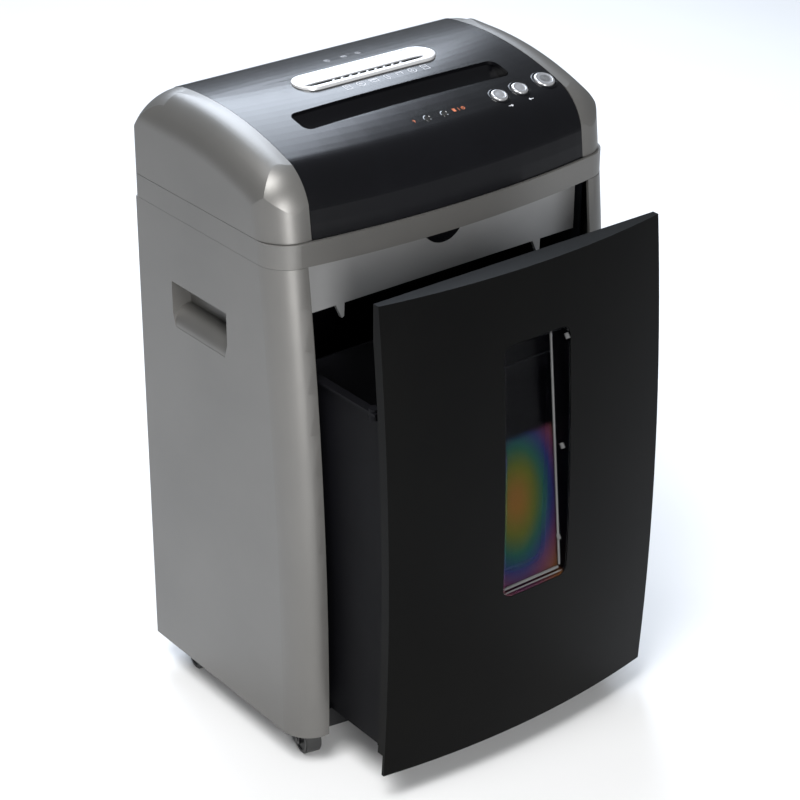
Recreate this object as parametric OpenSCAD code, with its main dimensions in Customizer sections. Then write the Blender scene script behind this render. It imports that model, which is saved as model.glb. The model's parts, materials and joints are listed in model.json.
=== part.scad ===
// Office paper shredder on casters, with a pull-out bin that stands part-way open.
// Millimetres. +Z is up, +X runs along the paper slot, and the door faces -Y.
// The origin is the bottom centre of the whole machine, with the bin at its open rest position.

/* [Cabinet] */
// Width over the two side panels
body_w = 380; // [376:2:390]
// Depth from the rear panel to the foot of the side panels
cabinet_d = 245; // [243:1:247]
// Height of the side panels
cabinet_h = 467; // [465:1:469]
// Gap between the floor and the cabinet
caster_h = 32; // [32:1:34]
// Wall thickness of the outer mouldings
wall = 3; // [2.5:0.25:3]
// Radius of the front corners in plan
corner_r = 30; // [28:1:32]
// Radius of the side panels' front edge, seen from the side
lean_r = 3700; // [3600:50:3900]

/* [Head] */
// Height of the trim band
band_h = 22.5; // [20:0.5:24]
// Rise of the top cover above the trim band
arch_h = 82.5; // [80:0.5:86]
// Radius of the arched top, seen from the side
top_r = 353; // [345:1:365]
// Radius of the front shoulder
shoulder_r = 50; // [47:1:53]
// Radius of the rear edge of the top
rear_r = 30; // [28:1:32]
// How far the middle of the front bows out past its ends
bow = 12.5; // [11:0.5:13]
// Half the width of the dark top cover
cover_half = 153; // [152:0.5:154]

/* [Slots and buttons] */
// Width of the paper mouth
paper_w = 230; // [224:1:232]
// Width of the disc slit
disc_w = 132; // [126:1:134]
// Diameter of the power button
power_d = 20; // [18:0.5:21]
// Diameter of the forward and reverse buttons
jog_d = 16; // [14:0.5:17]

/* [Bin] */
// How far the bin stands out of the cabinet at rest
pull = 83; // [80:1:84]
// Width of the door
door_w = 315; // [313:0.5:316]
// Height of the bin's rim above the cabinet's underside
tub_h = 362; // [340:2:364]
// How far the middle of the door bows out past its sides
door_bow = 14.6; // [13:0.2:15]
// Radius of the door, seen from the side
barrel_r = 2600; // [2500:50:2800]

/* [Cutters] */
// Distance between the two paper cutter shafts
shaft_gap = 40; // [40:0.5:40.5]
// Radius of the paper cutting discs
blade_r = 23; // [22.5:0.1:23]
// Distance from one paper disc to the next on the same shaft
blade_pitch = 8; // [7.9:0.1:8]
// Radius of a caster wheel
wheel_r = 15; // [14:0.5:15]

/* [Hidden] */
$fn = 64;
smooth = 256;

// Reference planes
total_d = cabinet_d + pull + 18;
y_back = total_d / 2;
y_foot = y_back - cabinet_d;
z_base = caster_h;
z_seam = z_base + cabinet_h;
z_cover = z_seam + band_h;
z_top = z_cover + arch_h;
side_x = body_w / 2;
gap = 0.4;
flange_y = y_back - wall - 3.4;

// Side view of the front edge and of the arched head
lean_c = [y_foot + lean_r, z_base + 50];
apex_y = y_back - 67;
top_c = [apex_y, z_top - top_r];
rear_c = [y_back - rear_r, top_c[1] + sqrt(pow(top_r - rear_r, 2) - pow(y_back - rear_r - apex_y, 2))];
shoulder_c = circles_cross(top_c, top_r - shoulder_r, lean_c, lean_r - shoulder_r);

// Plan view of the bowed front
bow_half = 157;
bow_r = (pow(bow_half, 2) + pow(bow, 2)) / (2 * bow);
y_band = y_foot + 10.5;
bow_axis = y_band + bow_r;
corner_c = [side_x - corner_r, bow_axis - sqrt(pow(bow_r - corner_r, 2) - pow(side_x - corner_r, 2))];

// Bin door
opening_half = side_x - corner_r - 1;
door_half = door_w / 2;
door_z0 = z_base - 2;
door_z1 = z_seam - 1.5;
door_front = -total_d / 2;
door_r = (pow(door_half, 2) + pow(door_bow, 2)) / (2 * door_bow);
door_axis = door_front + door_r;
barrel_z = z_base + 183;
door_back = door_front + 37;
window_half = 38;
window_z0 = z_base + 151;
window_z1 = z_base + 400;
window_r = 10;

// Bin tub
floor_z = z_base + 20;
tub_z0 = floor_z + 1;
tub_z1 = z_base + tub_h;
tub_half = 150;
tub_wall = 2.5;
tub_rear = door_back + 218;
divider_y = door_back + 111;

// Lower housing
fascia_y = y_foot + 41;
fascia_z = z_seam - 54;
deck_z = fascia_z + 3;
liner_x = opening_half + 0.8;

// Cutters and gears, in the Y-Z plane
plate_x = 118;
plate_t = 3;
nip_y = y_back - 155;
shaft_z = z_seam + 1;
front_shaft = [nip_y - shaft_gap / 2, shaft_z];
rear_shaft = [nip_y + shaft_gap / 2, shaft_z];
core_r = shaft_gap - blade_r - 0.6;
journal_r = 6;
disc_nip_y = y_back - 94;
disc_gap = 25;
main_m = 1.5;
main_teeth = 44;
disc_teeth = 20;
sync_teeth = 20;
disc_reach = main_m * (main_teeth + disc_teeth) / 2;
disc_front_y = disc_nip_y - disc_gap / 2;
disc_z = shaft_z + sqrt(pow(disc_reach, 2) - pow(disc_front_y - rear_shaft[0], 2));
disc_front_shaft = [disc_front_y, disc_z];
disc_rear_shaft = [disc_front_y + disc_gap, disc_z];
disc_journal_r = 4;
motor_c = [y_back - 45, shaft_z - 12];
motor_r = 30;
small_teeth = 14;
second_m = 1.25;
second_teeth = 42;
first_m = 1;
first_teeth = 48;
pinion_teeth = 12;
first_angle = 128;
first_c = motor_c + first_m * (first_teeth + pinion_teeth) / 2 * [cos(first_angle), sin(first_angle)];
second_c = circles_cross(first_c, second_m * (second_teeth + small_teeth) / 2,
  rear_shaft, main_m * (main_teeth + small_teeth) / 2);
running = 0.05;
pressure = 25;

// Turn of each gear at rest, so that every pair is in mesh
rear_phase = 0;
front_phase = mesh_phase(sync_teeth, rear_phase, bearing(rear_shaft, front_shaft), sync_teeth);
second_phase = mesh_phase(main_teeth, rear_phase, bearing(rear_shaft, second_c), small_teeth);
first_phase = mesh_phase(second_teeth, second_phase, bearing(second_c, first_c), small_teeth);
motor_phase = mesh_phase(first_teeth, first_phase, bearing(first_c, motor_c), pinion_teeth);
disc_front_phase = mesh_phase(main_teeth, rear_phase, bearing(rear_shaft, disc_front_shaft), disc_teeth);
disc_rear_phase = mesh_phase(sync_teeth, disc_front_phase, 0, sync_teeth);

// Row of buttons and lamps, which follows the bowed front
row_y = apex_y - 109;
row_tilt = asin(109 / top_r);
power_x = 139.5;
forward_x = 80.5;
reverse_x = 106.5;
lamp_x = [-5, 14];

// Casters: swivel centre and the direction in which each one trails
caster_x = 161;
caster_front_y = y_foot + 39;
caster_rear_y = y_back - 28;
trail = 10;
stem_r = 4;
fl_turn = -12;
fr_turn = 20;
rl_turn = -8;
rr_turn = 15;

silver = [0.44, 0.44, 0.43];
black = [0.06, 0.06, 0.065];
liner_black = [0.1, 0.11, 0.13];
steel = [0.6, 0.61, 0.62];
dark_steel = [0.35, 0.36, 0.37];
white_resin = [0.86, 0.85, 0.8];
board_green = [0.05, 0.3, 0.14];

// ---------- Geometry helpers ----------

function bearing(a, b) = atan2(b[1] - a[1], b[0] - a[0]);

// The crossing of two circles that lies on the left when going from a to b
function circles_cross(a, ra, b, rb) =
  let (d = norm(b - a), u = (b - a) / d, s = (ra * ra - rb * rb + d * d) / (2 * d))
  a + s * u + sqrt(ra * ra - s * s) * [-u[1], u[0]];

// The turn that puts a gear of n2 teeth in mesh with a neighbour of n1 teeth lying in direction dir
function mesh_phase(n1, phase1, dir, n2) = dir + 180 - (0.5 - (dir - phase1) * n1 / 360) * 360 / n2;

function bow_shift(x) = bow * (1 - pow(x / bow_half, 2));

function row_point(x) = [x, row_y - bow_shift(x), top_c[1] + top_r * cos(row_tilt)];

function involute(a) = tan(a) * 180 / PI - a;

// Half the angle of a tooth at radius r, with a little backlash
function tooth_half(n, m, r) =
  let (base = n * m / 2 * cos(pressure))
  (90 - 7) / n + involute(pressure) - involute(acos(min(1, base / r)));

function tooth_radii(n, m) =
  let (base = n * m / 2 * cos(pressure), tip = (n / 2 + 0.9) * m)
  [for (i = [0:3]) max(base, (n / 2 - 0.8) * m) + (tip - max(base, (n / 2 - 0.8) * m)) * i / 3];

function tooth_side(n, m, centre, side) =
  [for (r = tooth_radii(n, m)) let (a = centre + side * tooth_half(n, m, r)) r * [cos(a), sin(a)]];

function reversed(list) = [for (i = [len(list) - 1:-1:0]) list[i]];

function root_point(n, m, centre, side) =
  let (a = centre + side * tooth_half(n, m, tooth_radii(n, m)[0])) (n / 2 - 1.2) * m * [cos(a), sin(a)];

function gear_points(n, m) = [
  for (k = [0:n - 1])
    let (c = 360 * k / n)
    each concat([root_point(n, m, c, -1)], tooth_side(n, m, c, -1),
      reversed(tooth_side(n, m, c, 1)), [root_point(n, m, c, 1)])
];

module block(lo, hi) {
  translate(lo) cube(hi - lo);
}

// A Y-Z outline run along X
module run_x(x0, x1) {
  translate([x0, 0, 0]) rotate([90, 0, 90]) linear_extrude(x1 - x0) children();
}

// An X-Z outline run along Y
module run_y(y0, y1) {
  translate([0, y1, 0]) rotate([90, 0, 0]) linear_extrude(y1 - y0) children();
}

module rod_x(centre, r, x0, x1) {
  translate([x0, centre[0], centre[1]]) rotate([0, 90, 0]) cylinder(r = r, h = x1 - x0);
}

module gear_x(centre, n, m, phase, x0, x1, bore) {
  difference() {
    translate([x0, centre[0], centre[1]]) rotate([phase, 0, 0]) rotate([90, 0, 90])
      linear_extrude(x1 - x0) polygon(gear_points(n, m));
    if (bore > 0) rod_x(centre, bore, x0 - 1, x1 + 1);
  }
}

module mirrored_pair() {
  children();
  mirror([1, 0, 0]) children();
}

// A square outline with rounded corners, from lo to hi
module rounded(lo, hi, r) {
  translate([lo[0] + r, lo[1]]) square([hi[0] - lo[0] - 2 * r, hi[1] - lo[1]]);
  translate([lo[0], lo[1] + r]) square([hi[0] - lo[0], hi[1] - lo[1] - 2 * r]);
  for (x = [lo[0] + r, hi[0] - r]) for (y = [lo[1] + r, hi[1] - r]) translate([x, y]) circle(r);
}

// The wedge between two directions from a fillet's centre
module fillet_sector(c, d1, d2) {
  far = 2.5 * shoulder_r;
  mid = (d1 + d2) / norm(d1 + d2);
  polygon([c, c + far * d1, c + far * 1.4 * mid, c + far * d2]);
}

// What a fillet of radius r at centre c leaves outside itself
module outside_fillet(c, r, d1, d2) {
  difference() {
    fillet_sector(c, d1, d2);
    translate(c) circle(r, $fn = 128);
  }
}

// ---------- Head surfaces ----------

// Side view of the head, set in from its outer surface
module head_profile(inset) {
  difference() {
    intersection() {
      translate([y_back - inset - 300, z_seam - 5]) square([300, z_top - z_seam + 10]);
      translate(top_c) circle(top_r - inset, $fn = smooth);
      translate(lean_c) circle(lean_r - inset, $fn = smooth);
    }
    outside_fillet(shoulder_c, shoulder_r - inset, (shoulder_c - lean_c) / norm(shoulder_c - lean_c),
      (shoulder_c - top_c) / norm(shoulder_c - top_c));
    outside_fillet(rear_c, rear_r - inset, [1, 0], (rear_c - top_c) / norm(rear_c - top_c));
  }
}

// The head's volume: straight behind the top of the arch, and bowed in front of it
module head_volume(inset) {
  sweep = 14;
  cut_y = apex_y - 6;
  intersection() {
    run_x(-side_x, side_x) head_profile(inset);
    block([-side_x, cut_y, 0], [side_x, y_back, z_top + 10]);
  }
  intersection() {
    translate([0, bow_axis, 0]) rotate([0, 0, -90 - sweep])
      rotate_extrude(angle = 2 * sweep, $fn = smooth)
      translate([bow_axis + bow, 0]) mirror([1, 0]) head_profile(inset);
    block([-side_x, y_foot - 30, 0], [side_x, cut_y, z_top + 10]);
  }
}

// Plan outline of the head and band
module head_plan(inset) {
  back_r = 5;
  c = corner_c;
  translate([-side_x + inset, c[1]]) square([2 * (side_x - inset), y_back - back_r - c[1]]);
  translate([-side_x + back_r, c[1]]) square([2 * (side_x - back_r), y_back - inset - c[1]]);
  for (s = [-1, 1]) {
    translate([s * (side_x - back_r), y_back - back_r]) circle(back_r - inset);
    translate([s * c[0], c[1]]) circle(corner_r - inset);
  }
  intersection() {
    translate([0, bow_axis]) circle(bow_r - inset, $fn = smooth);
    polygon([[-c[0] / 4, c[1] + 60], [-c[0], c[1]], [-c[0] * 1.09, c[1] - 80],
      [c[0] * 1.09, c[1] - 80], [c[0], c[1]], [c[0] / 4, c[1] + 60]]);
  }
}

roll_r = corner_r + 2;

// Section of an end cap's rolled edge: distance from a profile arc's centre against X
module roll_section(radius, inset) {
  x_in = cover_half - 20;
  r_in = max(radius - 200, 0);
  difference() {
    translate([r_in, x_in]) square([radius - inset - r_in, side_x - inset - x_in]);
    difference() {
      translate([radius - roll_r, side_x - roll_r]) square(roll_r + 1);
      translate([radius - roll_r, side_x - roll_r]) circle(roll_r - inset, $fn = 128);
    }
  }
}

// One arc of the side view turned about its own centre, with the rolled edge
module rolled_arc(c, radius, inset) {
  translate([0, c[0], c[1]]) rotate([0, 90, 0]) rotate_extrude($fn = smooth) roll_section(radius, inset);
}

// Front view of an end cap's rear part
module cap_front(inset) {
  x_in = cover_half - 20;
  difference() {
    translate([x_in, z_seam - 5]) square([side_x - inset - x_in, z_top - inset - z_seam + 5]);
    difference() {
      translate([side_x - roll_r, z_top - roll_r]) square(roll_r + 1);
      translate([side_x - roll_r, z_top - roll_r]) circle(roll_r - inset, $fn = 128);
    }
  }
}

// What a ball leaves outside itself at an end cap's upper rear corner
module rear_corner_waste(inset) {
  ball_r = 58.2;
  c = [side_x - 40, y_back - 40, z_top - 59];
  difference() {
    block(c, [side_x + 1, y_back + 1, z_top + 10]);
    translate(c) sphere(r = ball_r - inset, $fn = smooth);
  }
}

module cap_volume(inset) {
  d1 = (shoulder_c - lean_c) / norm(shoulder_c - lean_c);
  d2 = (shoulder_c - top_c) / norm(shoulder_c - top_c);
  intersection() {
    difference() {
      intersection() {
        rolled_arc(top_c, top_r, inset);
        rolled_arc(lean_c, lean_r, inset);
      }
      difference() {
        run_x(0, side_x + 1) fillet_sector(shoulder_c, d1, d2);
        translate([cover_half, shoulder_c[0], shoulder_c[1]])
          sphere(r = shoulder_r + 0.8 - inset, $fn = smooth);
      }
    }
    block([cover_half - 19, y_foot - 30, z_seam - 5], [side_x + 1, apex_y, z_top + 10]);
  }
  difference() {
    intersection() {
      run_x(0, side_x) head_profile(inset);
      linear_extrude(z_top + 10) head_plan(inset);
      run_y(apex_y, y_back + 1) cap_front(inset);
    }
    rear_corner_waste(inset);
  }
}

module end_cap() {
  difference() {
    intersection() {
      cap_volume(0);
      block([cover_half + gap / 2, -total_d, z_cover + gap / 2], [side_x + 1, total_d, z_top + 1]);
    }
    cap_volume(wall);
  }
}

// ---------- Cabinet ----------

join_y = y_foot + 60;
panel_in = -opening_half;

// Plan outline of the left panel's front part, with its rounded corner, set in from the outer face
module panel_front_plan(inset, x1) {
  difference() {
    translate([-side_x + inset, y_foot + inset]) square([x1 + side_x - inset, 100]);
    difference() {
      translate([-side_x - 1, y_foot - 1]) square(corner_r + 1);
      translate([-side_x + corner_r, y_foot + corner_r]) circle(corner_r - inset);
    }
  }
}

// Carries a plan outline up the leaning front edge, about an axis parallel to X
module lean_sweep() {
  up = 8;
  down = 1.5;
  translate([0, lean_c[0], lean_c[1]]) rotate([-90, 0, 0]) rotate([0, 90, 0])
    rotate([0, 0, -up]) rotate_extrude(angle = up + down, $fn = smooth)
    translate([lean_c[0], 0]) rotate([0, 0, 90]) children();
}

// Plan outline of the panel's straight rear part, with a short return across the back
module panel_rear_plan() {
  rear_round = 2;
  difference() {
    translate([-side_x, join_y]) square([20, y_back - join_y]);
    difference() {
      translate([-side_x - 1, y_back - rear_round]) square(rear_round + 1);
      translate([-side_x + rear_round, y_back - rear_round]) circle(rear_round);
    }
    translate([-side_x + wall, join_y - 1]) square([30, y_back - wall - join_y + 1]);
  }
}

grip_y = [y_back - 141, y_back - 55];
grip_z = [z_base + 358, z_base + 402];
grip_back = -side_x + 20;

grip_roll = [-side_x + 18.3, grip_z[0]];

// Finger pocket, whose floor rolls inwards and upwards from the panel's face
module grip_pocket() {
  t = 2.5;
  difference() {
    block([-side_x + 1, grip_y[0] - t, grip_z[0] - t], [grip_back + t, grip_y[1] + t, grip_z[1] + t]);
    grip_hollow();
    run_y(grip_y[0], grip_y[1]) translate(grip_roll) circle(18 - t);
  }
}

module grip_hollow() {
  taper = 4;
  difference() {
    run_x(-side_x - 1, grip_back)
      polygon([[grip_y[0] + taper, grip_z[0]], [grip_y[0], grip_z[0] + 13], [grip_y[0], grip_z[1]],
        [grip_y[1], grip_z[1]], [grip_y[1], grip_z[0] + 13], [grip_y[1] - taper, grip_z[0]]]);
    run_y(grip_y[0] - 1, grip_y[1] + 1) translate(grip_roll) circle(18);
  }
}

// Flange behind the rear panel that takes its screws
module screw_flange() {
  y0 = flange_y;
  y1 = y_back - wall - gap;
  translate([0, 0, z_base + 1]) linear_extrude(cabinet_h - 2)
    polygon([[-side_x + 2, y1 + 1], [-side_x + 2, y0], [-side_x + 35, y0], [-side_x + 35, y1],
      [-side_x + 19.5, y1], [-side_x + 19.5, y1 + 1]]);
}

module side_panel() {
  difference() {
    union() {
      difference() {
        intersection() {
          lean_sweep() panel_front_plan(0, panel_in + 10);
          block([-side_x - 1, y_foot - 5, z_base], [panel_in, join_y, z_seam]);
        }
        lean_sweep() panel_front_plan(wall, panel_in + 20);
      }
      translate([0, 0, z_base]) linear_extrude(cabinet_h) panel_rear_plan();
      screw_flange();
    }
    grip_hollow();
    at_rear_screws() translate([0, 0, -9]) cylinder(r = 1.6, h = 12);
  }
  grip_pocket();
}

module left_side_panel() {
  color(silver) side_panel();
}

module right_side_panel() {
  color(silver) mirror([1, 0, 0]) side_panel();
}

// Inner wall of the bin bay
module liner() {
  t = 1.6;
  block([-liner_x - t, y_foot + 34, floor_z + gap], [-liner_x, flange_y - gap, z_seam - gap]);
}

module left_liner() {
  color(liner_black) liner();
}

module right_liner() {
  color(liner_black) mirror([1, 0, 0]) liner();
}

module rear_panel() {
  half = side_x - 20 - gap;
  color(black) difference() {
    block([-half, y_back - wall, z_base], [half, y_back, z_seam - gap]);
    for (i = [0:7])
      block([-60, y_back - wall - 1, z_base + 330 + 12 * i], [60, y_back + 1, z_base + 335 + 12 * i]);
    at_rear_screws() {
      cylinder(r = 3.5, h = screw_sink + 1);
      translate([0, 0, -4]) cylinder(r = 1.7, h = 5);
    }
  }
}

caster_places = [[-caster_x, caster_front_y], [caster_x, caster_front_y],
  [-caster_x, caster_rear_y], [caster_x, caster_rear_y]];

// Plan outline of the base, bowed to match the inside of the door
module base_plan(inset) {
  side = side_x - wall - gap - inset;
  front = opening_half - 1 - inset;
  bow_gap = 4.2 + inset;
  translate([-side, y_foot + corner_r]) square([2 * side, flange_y - gap - inset - y_foot - corner_r]);
  intersection() {
    translate([0, door_axis + pull]) circle(door_r - bow_gap - 10, $fn = smooth);
    translate([-front, y_foot - 30]) square([2 * front, 80]);
  }
}

module base_plate() {
  color(black) difference() {
    union() {
      translate([0, 0, floor_z - 4]) linear_extrude(4) base_plan(0);
      difference() {
        translate([0, 0, z_base]) linear_extrude(floor_z - z_base) base_plan(0);
        translate([0, 0, z_base - 1]) linear_extrude(floor_z - z_base - 2) base_plan(wall);
      }
      for (p = caster_places) translate([p[0], p[1], z_base]) cylinder(r = 8, h = floor_z - z_base);
      for (x = [-80, 0, 80]) block([x - 1.5, y_foot + 2, z_base], [x + 1.5, flange_y - 1, floor_z - 1]);
    }
    for (p = caster_places) translate([p[0], p[1], z_base - 1]) cylinder(r = stem_r + running, h = 18);
  }
}

module bin_rails() {
  color(liner_black) mirrored_pair() block([118, y_foot + 14, floor_z], [130, y_back - 20, floor_z + 0.8]);
}

screw_x = side_x - 27;
screw_levels = [z_base + 34, z_base + 230, z_base + 450];
screw_sink = 2;

// A pan-head screw standing on z = 0, with a cross slot
module screw_head(r) {
  difference() {
    cylinder(r1 = r, r2 = r * 0.8, h = 1.8, $fn = 48);
    for (a = [0, 90]) rotate([0, 0, a]) translate([-r * 0.6, -0.4, 0.9]) cube([r * 1.2, 0.8, 1]);
  }
}

// Places a child at each rear screw, pointing backwards from the bottom of its recess
module at_rear_screws() {
  for (x = [-screw_x, screw_x]) for (z = screw_levels)
    translate([x, y_back - screw_sink, z]) rotate([-90, 0, 0]) children();
}

module cabinet_screws() {
  color(steel) at_rear_screws() {
    screw_head(3);
    translate([0, 0, -8]) cylinder(r = 1.5, h = 8.1);
  }
}

// ---------- Head mouldings ----------

module hook() {
  run_x(-2.5, 2.5)
    polygon([[fascia_y, z_seam - 3], [fascia_y - 10, z_seam - 4], [fascia_y - 10, z_seam - 8],
      [fascia_y, z_seam - 14]]);
}

module peg() {
  run_y(fascia_y, fascia_y + 4)
    polygon([[-5, fascia_z + 1], [5, fascia_z + 1], [4.5, fascia_z - 13], [2, fascia_z - 14]]);
}

module lower_housing() {
  half = liner_x - 1;
  rear = flange_y - gap;
  flange_z = z_seam + 3.4;
  color(silver) difference() {
    union() {
      block([-half, fascia_y, fascia_z], [half, rear, flange_z]);
      translate([0, 0, flange_z]) linear_extrude(2.2) head_plan(wall + 1);
      for (s = [-1, 1]) {
        translate([s * 75, 0, 0]) hook();
        translate([s * 113, 0, 0]) peg();
      }
    }
    block([-half + wall, fascia_y + wall, deck_z], [half - wall, rear - wall, flange_z + 5]);
    block([-plate_x + 3, fascia_y + 8, fascia_z - 1], [plate_x - 3, y_back - 66, deck_z + 1]);
  }
}

module trim_band() {
  color(silver) difference() {
    translate([0, 0, z_seam + gap / 2]) linear_extrude(band_h - gap) head_plan(0);
    translate([0, 0, z_seam + 3]) linear_extrude(band_h) head_plan(wall);
    translate([0, 0, z_seam - 1]) linear_extrude(10)
      rounded([-liner_x - 1, fascia_y - 2], [liner_x + 1, y_back - wall - 1.5], 4);
  }
}

paper_front = nip_y - 6;
paper_back = nip_y + 22;

module mouth_cut() {
  translate([0, 0, z_cover + 20]) linear_extrude(arch_h)
    rounded([-paper_w / 2, paper_front], [paper_w / 2, paper_back], 8);
}

bezel_half = 77.5;
bezel_d = 34.5;
bezel_y = disc_nip_y + 2.5;

module bezel_outline(grow) {
  r = bezel_d / 2 + grow;
  translate([0, bezel_y, 0]) {
    square([2 * (bezel_half - bezel_d / 2), 2 * r], center = true);
    for (s = [-1, 1]) translate([s * (bezel_half - bezel_d / 2), 0]) circle(r);
  }
}

// Places a child at a point of the control row, with its own +Z along the cover's surface normal
module on_row(x) {
  translate(row_point(x)) rotate([row_tilt, 0, 0]) children();
}

module button_hole(x, d) {
  on_row(x) translate([0, 0, -8]) cylinder(r = d / 2 + 0.9, h = 20);
}

inlet_x = -95;
inlet_z = z_cover + 22;

module top_cover() {
  vent_x = 30;
  color(black) difference() {
    intersection() {
      head_volume(0);
      block([-cover_half + gap / 2, -total_d, z_cover + gap / 2], [cover_half - gap / 2, total_d, z_top + 1]);
    }
    head_volume(wall);
    mouth_cut();
    translate([0, 0, z_top - 20]) linear_extrude(30) bezel_outline(-3);
    for (x = lamp_x) on_row(x) translate([0, 0, -8]) cylinder(r = 3.1, h = 16);
    button_hole(power_x, power_d);
    button_hole(forward_x, jog_d);
    button_hole(reverse_x, jog_d);
    for (i = [0:8])
      block([vent_x + 10 * i, y_back - 10, z_cover + 12], [vent_x + 5 + 10 * i, y_back + 1, z_cover + 44]);
    block([inlet_x - 14, y_back - 10, inlet_z - 10], [inlet_x + 14, y_back + 1, inlet_z + 10]);
  }
}

module left_end_cap() {
  color(silver) mirror([1, 0, 0]) end_cap();
}

module right_end_cap() {
  color(silver) end_cap();
}

// Surround of the disc slit, which lies along the cover's slope
module disc_slot_bezel() {
  slope = asin((apex_y - bezel_y - bow) / top_r);
  color(silver) difference() {
    translate([0, bezel_y, top_c[1] + top_r * cos(slope)]) rotate([slope, 0, 0])
      translate([0, -bezel_y, 0]) difference() {
        union() {
          translate([0, 0, 0.05]) linear_extrude(1.3) bezel_outline(0);
          translate([0, 0, -5.5]) linear_extrude(6) bezel_outline(-3.8);
        }
        translate([0, 0, -3.5]) linear_extrude(6) bezel_outline(-5.5);
      }
    block([-disc_w / 2, disc_nip_y - 3, z_top - 12], [disc_w / 2, disc_nip_y + 3, z_top + 5]);
  }
}

// Guides the sheet from the mouth down to the cutters, over a concave ledge
module paper_throat() {
  low = shaft_z + blade_r + 12;
  half = paper_w / 2;
  ledge_r = 28;
  color(black) difference() {
    intersection() {
      block([-half - 3, paper_front - 2.5, low], [half + 3, paper_back + 3, z_top]);
      head_volume(wall + gap);
    }
    intersection() {
      rod_x([paper_front + 4, z_cover + 88], ledge_r, -half, half);
      block([-half - 1, paper_front, z_cover], [half + 1, paper_back + 4, z_top + 10]);
    }
    block([-half, paper_front, low - 1], [half, paper_front + 7, z_top]);
    block([-half - 4, paper_front + 11, low - 1], [half + 4, paper_back, low + 18]);
  }
}

module disc_throat() {
  low = disc_z + 16;
  half = disc_w / 2 + 3;
  top = z_top - 8;
  color(black) difference() {
    block([-half, disc_nip_y - 6, low], [half, disc_nip_y + 6, top]);
    block([-disc_w / 2, disc_nip_y - 3, low - 1], [disc_w / 2, disc_nip_y + 3, top + 1]);
  }
}

module indicator_lenses() {
  color([0.12, 0.12, 0.13]) for (x = lamp_x) on_row(x) translate([0, 0, -6]) {
    cylinder(r = 2.9, h = 5.2);
    translate([0, 0, 5.2]) intersection() {
      sphere(r = 2.9, $fn = 48);
      translate([-3, -3, 0]) cube([6, 6, 1.2]);
    }
  }
}

board_drop = 15;

module control_board() {
  color(board_green) on_row(66) translate([-80, -11, -board_drop]) cube([168, 22, 1.6]);
  color(black) for (x = [forward_x, reverse_x, power_x]) on_row(x)
    translate([-3, -3, -board_drop + 1.2]) cube([6, 6, 3.4]);
}

module power_board() {
  z = deck_z + 8;
  y0 = y_back - 66;
  color(board_green) block([-108, y0, z], [-4, y_back - 12, z + 1.6]);
  color(black) block([-100, y0 + 8, z + 1.6], [-66, y0 + 42, z + 30]);
  color([0.2, 0.25, 0.5]) block([-56, y0 + 10, z + 1.6], [-36, y0 + 26, z + 20]);
  color(dark_steel) translate([-20, y0 + 24, z + 1.6]) cylinder(r = 8, h = 24);
  color(black) for (x = [-104, -8]) translate([x, y0 + 4, deck_z]) cylinder(r = 3, h = 8);
}

module entry_sensor() {
  z = shaft_z + blade_r + 16;
  color(black) {
    block([-4, paper_front - 8.7, z], [4, paper_front - 2.9, z + 10]);
    block([-4, paper_front + 11.5, z - 3], [4, paper_front + 18, z]);
  }
}

module bin_sensor() {
  color(black) block([54, fascia_y + wall, fascia_z + 10], [70, fascia_y + wall + 4.5, fascia_z + 18]);
}

// Round stepped catch on the fascia, half hidden by the band
module door_catch() {
  color(black) translate([0, fascia_y, z_seam - 0.5]) rotate([90, 0, 0]) {
    intersection() {
      union() {
        cylinder(r = 24, h = 3);
        cylinder(r = 19, h = 5.5);
        cylinder(r = 11, h = 7.5);
      }
      translate([-30, -30, 0]) cube([60, 30, 20]);
    }
  }
}

module power_inlet() {
  color(black) difference() {
    union() {
      block([inlet_x - 13.8, y_back - 20, inlet_z - 9.8], [inlet_x + 13.8, y_back - 1, inlet_z + 9.8]);
      block([inlet_x - 16, y_back - wall - 2.2, inlet_z - 12],
        [inlet_x + 16, y_back - wall - 0.2, inlet_z + 12]);
    }
    run_y(y_back - 16, y_back + 1) rounded([inlet_x - 10, inlet_z - 6], [inlet_x + 10, inlet_z + 6], 3);
  }
  color(steel) for (x = [inlet_x - 5, inlet_x, inlet_x + 5])
    block([x - 1, y_back - 17, inlet_z - 2], [x + 1, y_back - 6, inlet_z + 2]);
}

// ---------- Cutting mechanism ----------

plate_outline = [[fascia_y + 7, deck_z], [y_back - 12, deck_z], [y_back - 12, shaft_z + 22],
  [disc_rear_shaft[0] + 14, disc_z + 14], [disc_front_shaft[0] - 12, disc_z + 14],
  [front_shaft[0] - 10, shaft_z + 30], [fascia_y + 7, shaft_z + 20]];

tie_points = [[y_back - 18, shaft_z + 14], [disc_rear_shaft[0] + 19, shaft_z + 32],
  [fascia_y + 12, deck_z + 8]];

module frame_plate(x0, motor_hole) {
  difference() {
    run_x(x0, x0 + plate_t) polygon(plate_outline);
    for (c = [front_shaft, rear_shaft]) rod_x(c, journal_r + 3, x0 - 1, x0 + plate_t + 1);
    for (c = [disc_front_shaft, disc_rear_shaft]) rod_x(c, disc_journal_r + 2, x0 - 1, x0 + plate_t + 1);
    if (motor_hole) rod_x(motor_c, 9, x0 - 1, x0 + plate_t + 1);
    for (c = tie_points) rod_x(c, 2.5, x0 - 1, x0 + plate_t + 1);
  }
}

module left_frame_plate() {
  color(steel) frame_plate(-plate_x - plate_t, false);
}

module right_frame_plate() {
  color(steel) frame_plate(plate_x, true);
}

module tie_rods() {
  color(steel) for (c = tie_points) {
    rod_x(c, 4, -plate_x, plate_x);
    rod_x(c, 2.5, -plate_x - plate_t - 2, plate_x + plate_t + 2);
    for (s = [-1, 1]) rod_x(c, 4.5, s * (plate_x + plate_t + 1.5) - 1.5, s * (plate_x + plate_t + 1.5) + 1.5);
  }
}

blade_count = 28;
blade_t = 3.7;

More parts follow.
